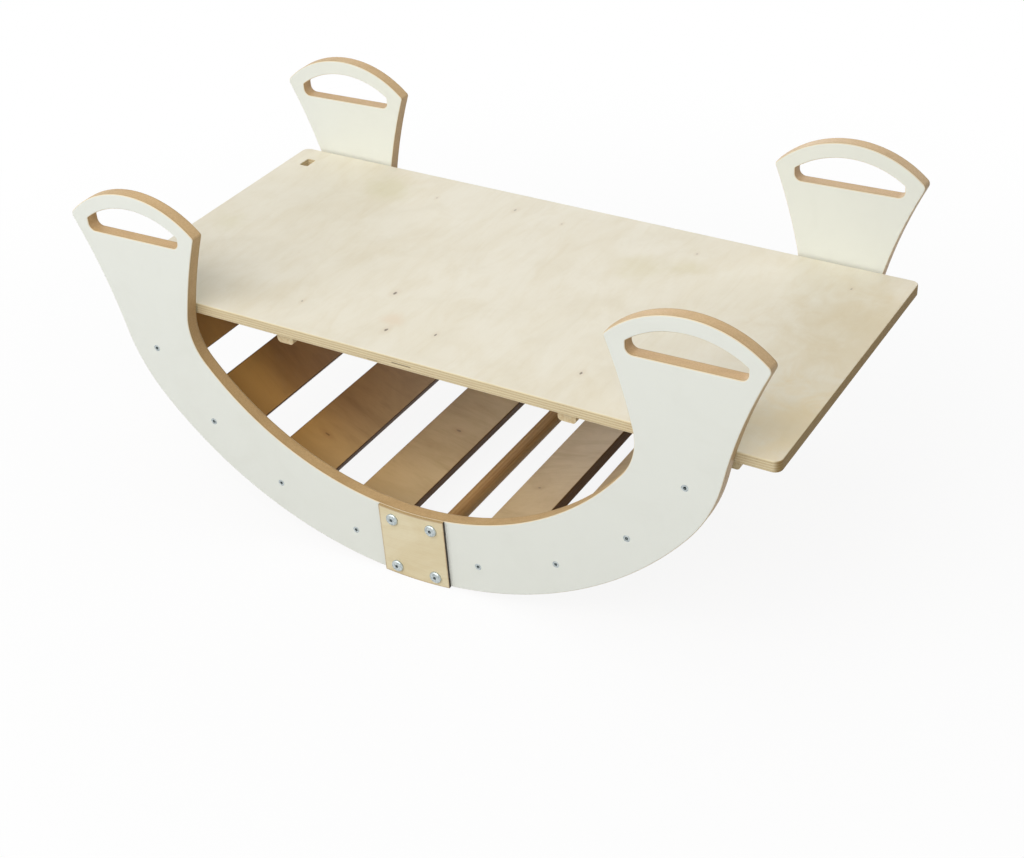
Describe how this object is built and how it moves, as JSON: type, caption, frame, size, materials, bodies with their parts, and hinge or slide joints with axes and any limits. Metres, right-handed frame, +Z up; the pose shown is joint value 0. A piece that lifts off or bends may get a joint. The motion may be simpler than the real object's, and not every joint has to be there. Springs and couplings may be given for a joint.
{
  "type": "balance rocker",
  "caption": "Wooden balance rocker: curved side frames with grip slots, cross slats between them and a loose board laid across as a table; turned over it is a climbing arch with a ramp.",
  "frame": {"origin": "on the floor, under the middle of the rocking edge, half way between the side frames", "axes": "+X along the rocker towards the board's lower end, +Y from the front side frame to the back one, +Z up"},
  "size_m": [0.9517, 0.4964, 0.464],
  "materials": {
    "faced_fibreboard": "fibreboard with a smooth white film on both faces, bare light brown edges",
    "birch_plywood": "pale birch plywood, sanded, matt",
    "thin_plywood": "thin birch plywood with dark cut edges",
    "slat_plywood": "birch plywood, matt",
    "batten_wood": "planed solid wood, matt",
    "round_wood": "turned solid wood, matt",
    "zinc_steel": "zinc-plated steel"
  },
  "bodies": {
    "rocker": {"panel_front_left": "faced_fibreboard", "panel_front_right": "faced_fibreboard", "panel_back_left": "faced_fibreboard", "panel_back_right": "faced_fibreboard", "connector_plate_front": "thin_plywood", "connector_plate_back": "thin_plywood", "centre_dowel": "round_wood", "slat_1": "slat_plywood", "slat_2": "slat_plywood", "slat_3": "slat_plywood", "slat_4": "slat_plywood", "slat_5": "slat_plywood", "slat_6": "slat_plywood", "slat_7": "slat_plywood", "slat_8": "slat_plywood", "connector_bolts_front": "zinc_steel", "connector_bolts_back": "zinc_steel", "connector_nuts_front": "zinc_steel", "connector_nuts_back": "zinc_steel", "slat_screws_front": "zinc_steel", "slat_screws_back": "zinc_steel", "slat_pins_front": "round_wood", "slat_pins_back": "round_wood"},
    "board": {"board": "birch_plywood", "batten_1": "batten_wood", "batten_2": "batten_wood", "batten_3": "batten_wood", "batten_4": "batten_wood", "batten_screws": "zinc_steel"}
  },
  "joints": [
    {"name": "board_lift", "type": "slide", "parent": "rocker", "child": "board", "axis": [0, 0, 1], "range_m": [0, 0.18]}
  ]
}
